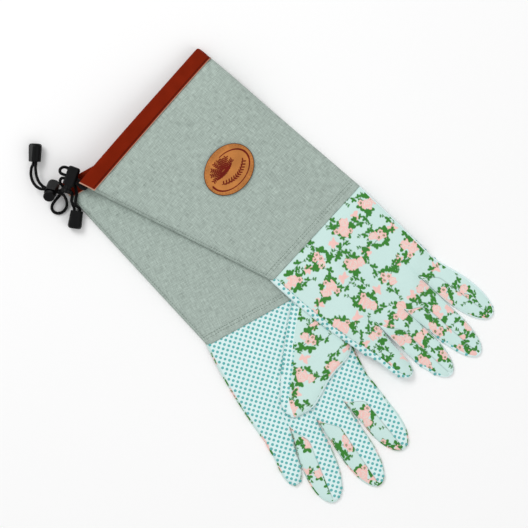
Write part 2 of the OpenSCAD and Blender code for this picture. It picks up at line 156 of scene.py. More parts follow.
def cuff_at(g, u, t):
    """Place on a cuff at share u across and t from wrist to mouth."""
    ax, ay = lerp(-WRIST_W / 2, MOUTH_THUMB_X, t), (-CUFF_LEN - 3) * t
    bx, by = lerp(WRIST_W / 2, g.mouth[0], t), (-CUFF_LEN + g.mouth[1]) * t
    return lerp(ax, bx, u), lerp(ay, by, u)


def cuff_top(g, u, t):
    x, y = cuff_at(g, u, t)
    width = lerp(WRIST_W, g.mouth_w, t)
    return 2 * CLOTH + (cuff_h(y) - 2 * CLOTH) * dome(minimum(u, 1 - u) * width / EDGE_R)


def side_x(g, side, y):
    """The hand's outline, on the thumb's side (-1) or the little finger's (1)."""
    t = unit(y / 110)
    if side < 0:
        return lerp(-WRIST_W / 2, g.roots[0][0], t)
    return lerp(WRIST_W / 2, g.roots[4][0], t) + 3 * np.sin(pi * t)


def tip_round(t):
    return np.where(t < 0.5, 1, np.sqrt(clip(1 - unit((t - 0.5) * 2) ** 2.3, 0, 1)))


def finger_at(g, f, u, t):
    """Place on finger f at share u across and t along it, and its half width."""
    a, b, tip = g.roots[f], g.roots[f + 1], g.tips[f]
    mid = (a + b) / 2
    along = (tip - mid) / norm(tip - mid)
    across = array([along[1], -along[0]])
    n = lerp((b - a) / norm(b - a), across, minimum(1, 3 * t)[..., None])
    n = n / norm(n, axis=-1, keepdims=True)
    half = lerp(norm(b - a) / 2, g.halves[f], ease(2 * t)) * tip_round(t)
    q = mid + (tip - mid) * t[..., None] + n * (half * (2 * u - 1))[..., None]
    return q[..., 0], q[..., 1], half


def hand_top(g, x, y):
    e = minimum(x - side_x(g, -1, y), side_x(g, 1, y) - x)
    return 2 * CLOTH + (HAND_H - 2 * CLOTH) * dome(e / EDGE_R)


def finger_top(u, t):
    puff = clip(np.sin(pi * unit(u)), 0, None) ** 0.6
    puff = puff * lerp(1, clip(tip_round(t), 0.24, 1), 0.7) * dome((1 - t) * 13)
    return 2 * CLOTH + (HAND_H - 2 * CLOTH) * puff


# ---------- cloth ripples ----------
LATTICE = np.random.default_rng(11).random((64, 64))


def noise(x, y, size):
    """Smooth noise from 0 to 1 with bumps of that size."""
    x, y = np.asarray(x) / size + 100, np.asarray(y) / size + 100
    i, j = np.floor(x).astype(int), np.floor(y).astype(int)
    a, b = ease(x - i), ease(y - j)
    at = lambda m, n: LATTICE[(i + m) % 64, (j + n) % 64]
    return lerp(lerp(at(0, 0), at(1, 0), a), lerp(at(0, 1), at(1, 1), a), b)


def ripple(x, y, amount):
    """Soft hollows in the cloth, always downwards."""
    return -amount * (0.6 * noise(x, y, 23) + 0.3 * noise(x * 1.3, y, 9) + 0.1 * noise(x, y, 3.6))


# ---------- meshes ----------
def add_object(name, data):
    obj = bpy.data.objects.new(name, data)
    scene.collection.objects.link(obj)
    return obj


def make_mesh(name, points, groups, flat=None, colours=None, smooth=True):
    """An object from points and groups of faces; flat gives each point's place on the cut cloth."""
    def fill(data, field, values, kind=np.float32):
        data.foreach_set(field, np.asarray(values).astype(kind).ravel())

    mesh = bpy.data.meshes.new(name)
    groups = [np.asarray(group) for group in groups]
    corners = concatenate([group.ravel() for group in groups])
    sizes = concatenate([np.full(len(group), group.shape[1]) for group in groups])
    starts = concatenate([[0], np.cumsum(sizes)[:-1]])
    mesh.vertices.add(len(points))
    fill(mesh.vertices, "co", np.asarray(points) * MM)
    mesh.loops.add(len(corners))
    fill(mesh.loops, "vertex_index", corners, np.int32)
    mesh.polygons.add(len(sizes))
    fill(mesh.polygons, "loop_start", starts, np.int32)
    mesh.polygons.foreach_set("use_smooth", np.full(len(sizes), smooth))
    mesh.update(calc_edges=True)
    if flat is not None:
        fill(mesh.uv_layers.new(name="flat").data, "uv", np.asarray(flat)[corners])
    if colours is not None:
        rgba = concatenate([colours, np.ones((len(colours), 1))], 1)
        fill(mesh.color_attributes.new("print", "FLOAT_COLOR", "POINT").data, "color", rgba)
    return add_object(name, mesh)


def grid_faces(rows, cols, start=0, wrap=False):
    """Faces of a grid of points, closed round its columns with wrap."""
    i, j = meshgrid(np.arange(rows - 1), np.arange(cols if wrap else cols - 1), indexing="ij")
    k = (j + 1) % cols
    quad = stack([i * cols + j, i * cols + k, (i + 1) * cols + k, (i + 1) * cols + j], -1)
    return quad.reshape(-1, 4) + start


def layer_faces(p, start, up=True):
    """Faces of a grid of points, all turned to face up or down."""
    faces = grid_faces(p.shape[0], p.shape[1], start)
    a, b = p[1:, :-1] - p[:-1, :-1], p[:-1, 1:] - p[:-1, :-1]
    rising = np.sum(b[..., 0] * a[..., 1] - b[..., 1] * a[..., 0]) > 0
    return faces if rising == up else faces[:, ::-1]


def make_cloth(name, g, grids):
    """One mesh from grids (x, y, z, colours or None, facing up)."""
    points, faces, flat, shades, start = [], [], [], [], 0
    for x, y, z, colours, up in grids:
        p = g.world(x, y, z)
        faces.append(layer_faces(p, start, up))
        points.append(p.reshape(-1, 3))
        flat.append(stack([x, y], -1).reshape(-1, 2))
        if colours:
            shades.append(colours(x, y))
        start += x.size
    shades = concatenate(shades) if shades else None
    return make_mesh(name, concatenate(points), faces, concatenate(flat), shades)


def dress(obj, slot, material, *nodes, thick=0.0):
    """Rides a piece on the glove in its name, with its material and the CAD nodes it replaces; slot is not
    used.
    """
    obj.data.materials.append(material)
    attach(obj, obj.name.split("_")[0] + "_glove")
    if nodes:
        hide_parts(*nodes)
    if thick:
        solid = obj.modifiers.new("cloth", "SOLIDIFY")
        solid.thickness, solid.offset = thick * MM, -1
    return obj


def lay_sheet(grids, with_pieces=()):
    """Gathers the x and y of the grids' points and does nothing more with them; with_pieces is not used."""
    x, y = (concatenate([grid[k].ravel() for grid in grids]) for k in (0, 1))


# ---------- materials ----------
def srgb(*rgb):
    """A linear colour from a display colour of 0 to 255."""
    c = array(rgb, float) / 255
    return np.where(c <= 0.04045, c / 12.92, ((c + 0.055) / 1.055) ** 2.4)


class Material:
    """A node tree with a Principled shader."""

    def __init__(self, name, rough=0.8, **values):
        self.mat = bpy.data.materials.new(name)
        self.mat.use_nodes = True
        self.tree = self.mat.node_tree
        self.shader = self.tree.nodes["Principled BSDF"]
        self.shader.inputs["Roughness"].default_value = rough
        for socket, value in values.items():
            self.shader.inputs[socket.replace("_", " ")].default_value = value

    def node(self, kind, *links, **settings):
        n = self.tree.nodes.new("ShaderNode" + kind)
        for key, value in settings.items():
            if key in n.inputs:
                n.inputs[key].default_value = value
            else:
                setattr(n, key, value)
        for socket, link in links:
            self.tree.links.new(link, n.inputs[socket])
        return n

    def put(self, value, socket):
        """Links an output to a socket, or sets a number or colour on it."""
        if hasattr(value, "links"):
            self.tree.links.new(value, socket)
        else:
            socket.default_value = value

    def maths(self, operation, a, b=0.0):
        n = self.node("Math", operation=operation)
        self.put(a, n.inputs[0])
        self.put(b, n.inputs[1])
        return n.outputs[0]

    def plus(self, a, b):
        return self.maths("ADD", a, b)

    def times(self, a, b):
        return self.maths("MULTIPLY", a, b)

    def swing(self, value, amount):
        """A pattern of 0 to 1 turned into one round 0."""
        return self.times(self.maths("SUBTRACT", value, 0.5), amount)

    def place(self):
        return self.node("TexCoord").outputs["Object"]

    def flat(self):
        """Place on the cut cloth, in millimetres."""
        return self.node("UVMap", uv_map="flat").outputs[0]

    def print(self):
        return self.node("VertexColor", layer_name="print").outputs[0]

    def noise(self, place, scale, detail=2.0, **more):
        return self.node("TexNoise", ("Vector", place), Scale=scale, Detail=detail, **more).outputs[0]

    def link(self, output, socket):
        self.tree.links.new(output, self.shader.inputs[socket])

    def tint(self, base, tone):
        """Base colour, darker and lighter by a tone round 1."""
        scale = self.node("CombineXYZ", ("X", tone), ("Y", tone), ("Z", tone)).outputs[0]
        self.link(self.mix(1.0, base, scale, "MULTIPLY"), "Base Color")

    def roughness(self, pattern, amount, least):
        self.link(self.plus(self.times(pattern, amount), least), "Roughness")

    def blend(self, share, a, b):
        self.link(self.mix(share, a, b), "Base Color")

    def mix(self, share, a, b, blend="MIX"):
        n = self.node("Mix", data_type="RGBA", blend_type=blend)
        self.put(share, n.inputs[0])
        for value, socket in ((a, n.inputs[6]), (b, n.inputs[7])):
            self.put(value if hasattr(value, "links") else (*value, 1), socket)
        return n.outputs[2]

    def bump(self, height, strength, distance):
        n = self.node("Bump", ("Height", height), Strength=strength, Distance=distance * MM)
        self.link(n.outputs[0], "Normal")


def weave_height(m, uv, pitch, uneven):
    """Height of a plain weave with uneven threads, from about 0 to 1."""
    wobble = m.noise(uv, 0.35)
    parts = m.node("SeparateXYZ", ("Vector", uv))
    waves = []
    for axis in (0, 1):
        turn = m.times(parts.outputs[axis], pi / pitch)
        waves.append(m.maths("SINE", m.plus(turn, m.times(wobble, uneven))))
    return m.plus(m.times(m.times(*waves), 0.5), 0.5)


def cloth_material(name, colour=None, pitch=0.5, contrast=0.1, bump=0.4, rough=0.88, shade=0.05,
                   threads=0.06, slubby=2.5, sheen=0.08):
    """Woven cloth in one colour, or in the mesh's printed colours."""
    m = Material(name, rough, Sheen_Weight=sheen, Sheen_Roughness=0.5, Specular_IOR_Level=sheen)
    uv = m.flat()
    height = weave_height(m, uv, pitch, 5.0)
    slubs = m.noise(uv, 1.4, 4.0, Roughness=0.7)
    tone = m.plus(m.swing(height, contrast), m.swing(slubs, contrast * slubby))
    tone = m.plus(tone, m.swing(m.noise(uv, 0.03, 3.0), shade))
    for stretch in ((0.12, 1.5, 1), (1.5, 0.12, 1)):
        thread = m.node("Mapping", ("Vector", uv), Scale=stretch).outputs[0]
        tone = m.plus(tone, m.swing(m.noise(thread, 1.0), threads))
    m.tint(srgb(*colour) if colour else m.print(), m.plus(tone, 1.0))
    m.roughness(slubs, 0.16, rough - 0.08)
    m.bump(m.plus(height, m.times(slubs, 0.6)), bump, 0.12)
    return m.mat


def speckled_material(name, rough, scale, detail, dark, light, spread=None, grain=None, **values):
    """Speckles from dark to light, rougher with them by (amount, least), and grain of (scale, strength)."""
    m = Material(name, rough, **values)
    place = m.place()
    speckle = m.noise(place, scale, detail)
    m.blend(speckle, dark, light)
    if spread:
        m.roughness(speckle, *spread)
    if grain:
        m.bump(m.noise(place, grain[0], 3.0), grain[1], 0.05)
    return m.mat


def cord_material():
    m = Material("braided_elastic", 0.75, Sheen_Weight=0.04, Specular_IOR_Level=0.12)
    parts = m.node("SeparateXYZ", ("Vector", m.flat()))
    along, around = m.times(parts.outputs[0], 5.2), m.times(parts.outputs[1], 8.0)
    waves = [m.maths("SINE", m.maths(way, along, around)) for way in ("ADD", "SUBTRACT")]
    braid = m.plus(m.times(m.times(*waves), 0.5), 0.5)
    m.blend(braid, srgb(2, 2, 3), srgb(10, 10, 11))
    m.roughness(braid, 0.15, 0.65)
    m.bump(braid, 0.7, 0.25)
    return m.mat


def leather_material():
    m = Material("veg_leather", 0.55, Specular_IOR_Level=0.15)
    uv = m.flat()
    grain = m.node("TexVoronoi", ("Vector", uv), Scale=1.9).outputs["Distance"]
    fine = m.noise(uv, 0.9, 5.0)
    m.tint(m.print(), m.plus(m.times(fine, 0.4), 0.8))
    m.roughness(fine, 0.25, 0.45)
    m.bump(m.plus(grain, fine), 0.25, 0.15)
    return m.mat


# ---------- the floral print ----------
AQUA, PINK, PALE = (204, 231, 226), (245, 199, 192), (228, 226, 216)
GREEN, STEM, SAND = (62, 132, 54), (46, 92, 42), (226, 206, 160)
PRINT_SEED = 5


class Print:
    """A painted sheet: an array of colours on which shapes are stamped, in millimetres."""

    def __init__(self, width, height, step, ground, seed):
        self.step, self.rng = step, np.random.default_rng(seed)
        self.vary = self.rng.uniform
        self.rgb = np.empty((int(height / step), int(width / step), 3))
        self.rgb[:] = srgb(*ground)

    def stamp(self, x, y, reach, inside, colour):
        """Colours what is inside a shape, given by a test on distances from its middle."""
        h, w = self.rgb.shape[:2]
        n = int(reach / self.step) + 2
        ci, cj = int(round(y / self.step)), int(round(x / self.step))
        i, j = np.arange(ci - n, ci + n + 1), np.arange(cj - n, cj + n + 1)
        dy, dx = meshgrid(i * self.step - y, j * self.step - x, indexing="ij")
        mask = inside(dx, dy)
        ii, jj = meshgrid(i % h, j % w, indexing="ij")
        self.rgb[ii[mask], jj[mask]] = srgb(*colour)

    def oval(self, x, y, long, wide, angle, colour, lobes=0, depth=0.0):
        c, s = cos(angle), sin(angle)

        def inside(dx, dy):
            a, b = (dx * c + dy * s) / long, (dy * c - dx * s) / wide
            edge = 1 + depth * np.sin(lobes * np.arctan2(b, a) + x)
            return a * a + b * b < edge * edge

        self.stamp(x, y, max(long, wide) * (1 + depth), inside, colour)

    def petal(self, x, y, angle, reach, long, wide, turn, colour, lobes=0, depth=0.0):
        """An oval at that reach from a point, in the direction of the angle."""
        x, y = x + reach * cos(angle), y + reach * sin(angle)
        self.oval(x, y, long, wide, turn, colour, lobes, depth)

    def arc(self, x, y, r, start, sweep, n, width, colour):
        a = linspace(start, start + sweep, n)
        self.stroke(stack([x + r * np.cos(a), y + r * np.sin(a)], 1), width, colour)

    def stroke(self, points, width, colour):
        points = np.asarray(points, float)
        for a, b in zip(points[:-1], points[1:]):
            n = max(2, int(norm(b - a) / (width * 0.4)))
            for p in linspace(a, b, n):
                self.oval(p[0], p[1], width / 2, width / 2, 0, colour)

    def sample(self, x, y):
        h, w = self.rgb.shape[:2]
        i, j = np.asarray(y) / self.step, np.asarray(x) / self.step
        i0, j0 = np.floor(i).astype(int), np.floor(j).astype(int)
        a, b = (i - i0)[..., None], (j - j0)[..., None]
        at = lambda m, n: self.rgb[(i0 + m) % h, (j0 + n) % w]
        return lerp(lerp(at(0, 0), at(0, 1), b), lerp(at(1, 0), at(1, 1), b), a)


def curve(x, y, angle, length, bend, n=9):
    """Points along a bent stem, and its direction at each."""
    t = linspace(0, 1, n)
    way = angle + bend * t
    step = length / (n - 1)
    px = x + concatenate([[0], np.cumsum(np.cos(way[:-1]))]) * step
    py = y + concatenate([[0], np.cumsum(np.sin(way[:-1]))]) * step
    return stack([px, py], 1), way


def twig(p, x, y, angle, length):
    """A thin stem with pairs of small pointed leaflets."""
    points, way = curve(x, y, angle, length, p.vary(-0.9, 0.9), max(3, int(length / 2.1)))
    p.stroke(points, 0.5, STEM)
    for k in range(1, len(points)):
        for side in (-1, 1):
            a = way[k] + side * p.vary(0.6, 0.9)
            long = p.vary(0.9, 1.2)
            p.petal(*points[k], a, 1.35 * long, long, 0.5 * long, a, GREEN if k % 3 else STEM)
    p.petal(*points[-1], way[-1], 1.0, 1.2, 0.55, way[-1], GREEN)


def leaf(p, x, y, angle, size):
    """A leaf of three rounded lobes."""
    for turn in (-1.3, 0.0, 1.3):
        a = angle + turn + p.vary(-0.15, 0.15)
        long = size * p.vary(0.52, 0.62)
        p.petal(x, y, a, 1.1 * long, long, 0.66 * long, a, GREEN)
    p.oval(x, y, 0.28 * size, 0.28 * size, angle, GREEN)


def bloom(p, x, y, r):
    """A full rose: uneven pink petals with pale lines between them."""
    start = p.vary(0, TAU)
    for k in range(5):
        a = start + k * TAU / 5 + p.vary(-0.3, 0.3)
        reach = 0.6 * r * p.vary(0.7, 1.25)
        p.petal(x, y, a, reach, 0.6 * r, 0.36 * r, a + p.vary(0.6, 2.2), PINK, 3, 0.2)
    p.oval(x, y, 0.6 * r, 0.5 * r, start, PINK)
    for k in range(3):
        p.arc(x, y, 0.55 * r, start + k * 2.1, 1.4, 6, 0.75, PALE)
    p.arc(x, y, 0.22 * r, start, 3.0, 7, 0.7, PALE)


def blossom(p, x, y, r):
    """An open flower with a dark ring in its middle."""
    start = p.vary(0, TAU)
    for k in range(5):
        a = start + k * TAU / 5
        p.petal(x, y, a, 0.55 * r, 0.5 * r, 0.42 * r, a, PINK)
    p.oval(x, y, 0.55 * r, 0.55 * r, 0, PINK)
    p.oval(x, y, 0.30 * r + 0.35, 0.22 * r + 0.3, start, STEM)
    p.oval(x, y, 0.16 * r + 0.1, 0.1 * r + 0.1, start, SAND)


def bud(p, x, y, angle):
    """Loose pink petals, some with a leaf over them."""
    for k in range(4):
        a, reach = angle + k * 1.7 + p.vary(-0.3, 0.3), p.vary(1.6, 3.4)
        p.petal(x, y, a, reach, p.vary(2.6, 3.6), p.vary(1.5, 2.2), a, PINK, 3, 0.2)
    if p.vary() < 0.5:
        leaf(p, x + 3.5 * cos(angle), y + 3.5 * sin(angle), angle, 2.6)
        twig(p, x + 6 * cos(angle), y + 6 * sin(angle), angle, 4)


def vine(p, x, y, angle, length):
    """A bent stem with leaves on both sides and a twig at its end."""
    stem, turn = curve(x, y, angle, length, p.rng.choice([-1, 1]) * p.vary(0.6, 1.5), 14)
    p.stroke(stem, 0.55, STEM)
    hand = p.rng.choice([-1, 1])
    for k in range(5, 14, 3):
        hand = -hand
        q = stem[k] + 1.3 * hand * array([-sin(turn[k]), cos(turn[k])])
        leaf(p, *q, turn[k] + 1.1 * hand, p.vary(2.6, 4.0))
    twig(p, *stem[-1], turn[-1], p.vary(4, 6))
    twig(p, *stem[6], turn[6] - 1.2 * hand, p.vary(4, 6))


# Flowers of each kind of spray: place across and along it, size and shape.
SPRAYS = [
    [((-1.5, -1.0), 5.6, bloom), ((5.6, 2.8), 5.0, bloom), ((-5.6, 4.8), 3.0, blossom),
     ((2.0, -6.6), 2.7, blossom)],
    [((0, 0), 3.4, blossom), ((5.2, 1.6), 3.0, blossom), ((2.0, 5.4), 2.7, blossom),
     ((-5.6, 2.2), 4.2, bloom)],
    [((0, 1.0), 6.0, bloom), ((6.6, 3.4), 3.2, blossom), ((-3.4, -6.4), 4.4, bloom)],
]
PRINT_W, PRINT_H, ACROSS, UP = 210, 256, 35, 32


def spray(p, x, y, angle, kind):
    """A few roses and small flowers, with leaves between them and vines out of them."""
    along = array([cos(angle), sin(angle)])
    across = array([-along[1], along[0]])
    here = array([x, y])
    for way in range(3):
        vine(p, x, y, angle + 2.1 * way + p.vary(-0.4, 0.4), p.vary(17, 23))
    for a in (-1.9, -0.7, 0.9, 2.3):
        q = here + p.vary(6.0, 7.5) * (cos(a) * along + sin(a) * across)
        leaf(p, *q, angle + a + p.vary(-0.5, 0.5), p.vary(4.2, 5.4))
    for (u, v), r, draw in SPRAYS[kind]:
        draw(p, *(here + u * along + v * across), r)


def floral_print():
    """The repeating print: sprays on a shaken lattice, with loose buds in the gaps."""
    p = Print(PRINT_W, PRINT_H, 0.25, AQUA, PRINT_SEED)
    for row in range(PRINT_H // UP):
        for col in range(PRINT_W // ACROSS):
            x = (col + 0.5 * (row % 2)) * ACROSS + p.vary(-3, 3)
            y = row * UP + p.vary(-3, 3)
            bud(p, x + ACROSS / 2, y + p.vary(-3, 3), p.vary(0, TAU))
            spray(p, x, y, p.vary(0, TAU), (row * 2 + col) % 3)
    return p


def floral_colours(x, y, shift=(0, 0), turn=0.0):
    c, s = cos(turn), sin(turn)
    return COTTON.sample(x * c - y * s + shift[0] + 300, x * s + y * c + shift[1] + 300).reshape(-1, 3)


def dotted_colours(x, y):
    shade = 0.97 + 0.03 * noise(x, y, 14)
    return (srgb(222, 244, 243) * shade[..., None]).reshape(-1, 3)


# ---------- grids over the hand and fingers ----------
FINGER_W, HAND_L, FINGER_L = 34, 112, 95  # rough sizes, for the spacing of grids
ROOT_W, LITTLE_W = 33, 24  # a finger's width at its root, and the little finger's
TIP_SHARE = 0.985  # how far along a finger the upper panel reaches


def hand_at(g, k, v):
    """Place and height on the hand at finger coordinate k (0 to 4) and share v from wrist to roots."""
    f = clip(np.floor(k).astype(int), 0, 3)
    u = k - f
    root = lerp(g.roots[f], g.roots[f + 1], u[..., None])
    foot = lerp(-WRIST_W / 2, WRIST_W / 2, (root[..., 0] - g.roots[0][0]) / (g.roots[4][0] - g.roots[0][0]))
    x = lerp(foot, root[..., 0], v) + 3 * np.sin(pi * v) * clip(root[..., 0] / g.roots[4][0], 0, None)
    y = root[..., 1] * v
    top = lerp(hand_top(g, x, y), finger_top(u, 0 * u), v ** 4)
    return x, y, top


def seam_dip(distance, depth=0.55, width=1.5):
    """How far cloth dips where it is sewn, at that distance from the seam."""
    return -depth * (1 - ease(np.abs(distance) / width))


def panel_end(f, t):
    """Share across finger f where the upper panel ends and the side strip begins."""
    if f == 3:
        return 1 + 0 * t
    return lerp(0.97, SPLIT, ease(t * 4))


def along_finger(step, tip):
    """Shares along a finger, closer together at its tip."""
    return np.sin(linspace(0, 1, int(FINGER_L / step)) * pi / 2) * tip


def strip_patch(g, f, j, t, low, high):
    """A grid (x, y, height, distance to the border) on finger f between two shares across it."""
    u = lerp(low, high, j)
    x, y, half = finger_at(g, f, u, t)
    edge = minimum(minimum(u - low, high - u) * 2 * half, (TIP_SHARE - t) * FINGER_L)
    return x, y, finger_top(u, t), edge


def hand_patches(g, step, inset_low, inset_high):
    """Grids (x, y, height, distance to the border) over the hand and each finger of an upper panel."""
    cols, rows = int(FINGER_W / step), int(HAND_L / step)
    low, high = inset_low / ROOT_W, 4 - inset_high / ROOT_W
    k, v = meshgrid(linspace(low, high, 4 * cols), linspace(0, 1, rows))
    patches = [(*hand_at(g, k, v), minimum(k - low, high - k) * ROOT_W)]
    j, t = meshgrid(linspace(0, 1, cols), along_finger(step, TIP_SHARE))
    for f in range(4):
        low = (inset_low if f == 0 else 0.25) / ROOT_W
        high = panel_end(f, t) - (inset_high / LITTLE_W if f == 3 else 0.002)
        x, y, top, edge = strip_patch(g, f, j, t, low, high)
        patches.append((x, y, top, np.maximum(edge, 3 * (0.04 - t) / 0.04)))
    return patches


def side_patch(g, f, step, far):
    """A grid over the strip between two fingers, on finger f."""
    j, t = meshgrid(linspace(0, 1, int(18 / step)), along_finger(step, TIP_SHARE))
    low = panel_end(f, t) + 0.002
    high = 1 - (0.3 + far * ease((t - 0.5) / 0.3)) / FINGER_W
    return strip_patch(g, f, j, t, low, np.maximum(high, low + 0.01))


def panel_z(g, x, y, top, edge):
    """Height of an upper panel, dipped along its seams."""
    rise = unit((top - 2) / 3)
    return top + seam_dip(edge, 0.42) * (top > 2.5) + ripple(x, y, 0.5) * rise + rest_h(g, x, y, 1)


def shell_z(g, x, y, top):
    """Height of the lower panel where it comes up under the upper one."""
    rise = unit((top - 2) / 3)
    z = np.where(top < 2.05, 0.9, top - 0.5 * rise + ripple(x, y, 0.5) * rise)
    return z + rest_h(g, x, y, 1)


def whole_patches(g, step):
    """Grids (x, y, height, share across) over the whole hand and each whole finger."""
    cols, rows = int(FINGER_W / step), int(HAND_L / step)
    k, v = meshgrid(linspace(0, 4, 4 * cols), linspace(0, 1, rows))
    patches = [(*hand_at(g, k, v), k / 4)]
    u, t = meshgrid(linspace(0, 1, cols), along_finger(step, 0.9985))
    top = finger_top(u, t)
    top[-1] = 2 * CLOTH
    return patches + [(*finger_at(g, f, u, t)[:2], top, u) for f in range(4)]


# ---------- camera ----------
VIEW_W, LENS = 528, 150  # width of floor that the camera sees, and its lens
camera = add_object("camera", bpy.data.cameras.new("camera"))
camera.data.lens = LENS
camera.location = Vector((-13.5, 11.5, VIEW_W * LENS / camera.data.sensor_width)) * MM
scene.camera = camera

# ---------- cords ----------
# A lock: the point at its closed end, heading and tilt. A cord end: its mouth's middle, heading and roll.
LOCKS = {"left": ((-223.2, 91.7, 3.2), -102.5, 58), "right": ((-200.5, 107.5, 22.6), -110.3, 0)}
ENDS = {"left": ((-242, 113.5, 7.2), 88, -60), "right": ((-200.2, 64.6, 5.1), -98, 0)}
STRAND_S = (10.9, 14.3)  # where the two strands cross a lock, from its closed end
CASING_MID, CASING_DEEP = 0.52, 0.95  # the casing cord's place and the casing's depth, as shares of the band
CASING_IN, CASING_OUT = 0.05, 0.98  # shares across the mouth between which the casing cord runs
# Each strand: glove, name, end of the casing (-1 lower, 1 upper), crossing of the lock, points to the lock,
# points to the cord end, side of the cord end.
STRANDS = [
    ("left", "a", -1, 1,
     [(-213.6, 84.2, 2), (-216.6, 81.4, 1.8), (-219.6, 78, 1.8), (-222.6, 74.3, 1.8), (-225, 70.4, 1.8),
      (-225.3, 66.4, 1.8), (-222.6, 63.1, 1.8), (-218.3, 62.2, 1.8), (-213.9, 64, 1.8), (-211, 68, 2.6),
      (-210.2, 72.4, 5.2), (-211, 76.8, 9), (-213.2, 80.4, 12.8)],
     [(-236, 86.4, 14), (-240.6, 89.4, 11.4), (-244.2, 94.4, 8), (-246, 101, 5.6), (-245.4, 107.6, 4.9)], 1),
    ("left", "b", 1, 0,
     [(-213.8, 84.8, 11.8)],
     [(-235, 90.2, 12), (-238.2, 94.6, 11.2), (-240.2, 100.6, 10.2), (-241, 107.4, 9.7)], -1),
    ("right", "a", -1, 1,
     [(-191, 86.2, 16.6), (-194.6, 87, 19)],
     [(-214.9, 95.4, 21.8), (-215.4, 91.8, 19), (-212.8, 88.4, 16.2), (-208.8, 86.2, 15.2),
      (-205.2, 83.2, 15.2), (-204, 79.2, 15.2), (-204.9, 74.8, 11.6), (-204, 70.2, 6.8)], -1),
    ("right", "b", 1, 0,
     [(-190.6, 85.9, 25.5), (-193.8, 88.4, 24.6)],
     [(-214.8, 101.6, 22), (-215.6, 105, 20), (-212.8, 107.6, 17.6), (-208.4, 106.8, 15.9),
      (-204.8, 102.6, 15.6), (-202.8, 97, 15.6), (-201.4, 91.4, 15.6), (-200.3, 86, 15.6), (-199.5, 81, 15.6),
      (-200.2, 76.6, 15.2), (-201.3, 70.6, 9.2)], 1),
]


def heading(degrees):
    a = radians(degrees)
    return array([cos(a), sin(a), 0]), array([-sin(a), cos(a), 0])


def lock_at(lock, s, x):
    """The point s along a lock from its closed end and x across it."""
    place, turn, tilt = lock
    along, across = heading(turn)
    a = radians(tilt)
    return array(place) + s * (along * cos(a) + array([0, 0, sin(a)])) + x * across


def end_at(end, side, deep):
    """The point that deep in a cord end's hole on one side."""
    place, turn, roll = end
    along, across = heading(turn)
    a = radians(roll)
    to_side = across * cos(a) + array([0, 0, sin(a)])
    return array(place) + deep * along + side * HOLE_X * to_side


def casing_point(g, u, side):
    """A point of the cord inside the band, in its lower (-1) or upper (1) layer."""
    rest = [rest_h(g, *cuff_at(g, u, CANVAS_SHARE + s * BAND_W / CUFF_LEN), 0) for s in (0, CASING_DEEP)]
    x, y = cuff_at(g, u, CANVAS_SHARE + CASING_MID * BAND_W / CUFF_LEN)
    return g.world(x, y, lerp(rest[0], rest[1], CASING_MID / CASING_DEEP) + MOUTH_H / 2 + side * LOOP_R)


def run_along(path):
    """Length along a path at each of its points."""
    return concatenate([[0], np.cumsum(norm(np.diff(path, axis=0), axis=1))])


def on_path(at, run, path):
    return stack([np.interp(at, run, path[:, k]) for k in range(3)], 1)


def smooth_path(points, step):
    """Evenly spaced points on a smooth curve through the points."""
    p = np.asarray(points, float)
    p = concatenate([[2 * p[0] - p[1]], p, [2 * p[-1] - p[-2]]])
    out = []
    for a, b, c, d in zip(p[:-3], p[1:-2], p[2:-1], p[3:]):
        for t in linspace(0, 1, 24, endpoint=False):
            out.append(0.5 * (2 * b + (c - a) * t + (2 * a - 5 * b + 4 * c - d) * t * t
                              + (3 * b - a - 3 * c + d) * t ** 3))
    out = array(out + [p[-2]])
    run = run_along(out)
    at = linspace(0, run[-1], max(4, int(run[-1] / step)) + 1)
    return on_path(at, run, out), run[-1]


def frames_along(path):
    """Side and up vectors at each point of a path, without twist."""
    way = np.gradient(path, axis=0)
    way /= norm(way, axis=1, keepdims=True)
    side = np.cross(way[0], (0, 0, 1))
    side = side / norm(side) if norm(side) > 0.1 else array([1.0, 0, 0])
    sides = []
    for w in way:
        side = side - w * (side @ w)
        side /= norm(side)
        sides.append(side)
    sides = array(sides)
    return sides, np.cross(sides, way)


def rings_round(path, run, a, radius, taper=1.0):
    """Rings of points round a path at angles a, and their places on the unrolled surface."""
    side, up = frames_along(path)
    ring = side[:, None] * np.cos(a)[None, :, None] + up[:, None] * np.sin(a)[None, :, None]
    flat = stack(np.broadcast_arrays(run[:, None], a[None] * radius), -1)
    points = path[:, None] + ring * np.reshape(radius * taper, (-1, 1, 1))
    return points.reshape(-1, 3), flat.reshape(-1, 2)


def tube(name, path, radius, sides=16):
    """A closed round tube along a path."""
    a = np.arange(sides + 1) * TAU / sides
    points, flat = rings_round(path, run_along(path), a, radius)
    faces = grid_faces(len(path), sides + 1)
    caps = len(points)
    points = concatenate([points, path[:1], path[-1:]])
    flat = concatenate([flat, flat[:1], flat[-1:]])
    last = (len(path) - 1) * (sides + 1)
    ends = [[caps, j, j + 1] for j in range(sides)]
    ends += [[caps + 1, last + j + 1, last + j] for j in range(sides)]
    return make_mesh(name, points, [faces, ends], flat)


BRAID = cord_material()
for side, letter, layer, crossing, to_lock, to_end, end_side in STRANDS:
    g = LEFT if side == "left" else RIGHT
    lock, end = LOCKS[side], ENDS[side]
    route = [casing_point(g, CASING_OUT, layer), *to_lock]
    route += [lock_at(lock, STRAND_S[crossing], x) for x in (HOLE_DEEP - 1, 0, 1 - HOLE_DEEP)]
    route += [*to_end, end_at(end, end_side, -1.5), end_at(end, end_side, HOLE_DEEP - 0.1)]
    path, length = smooth_path(route, 0.7)
    strand = tube(side + "_strand_" + letter, path, CORD_D / 2)
    dress(strand, "cord", BRAID, side + "_cord_strand_" + letter)

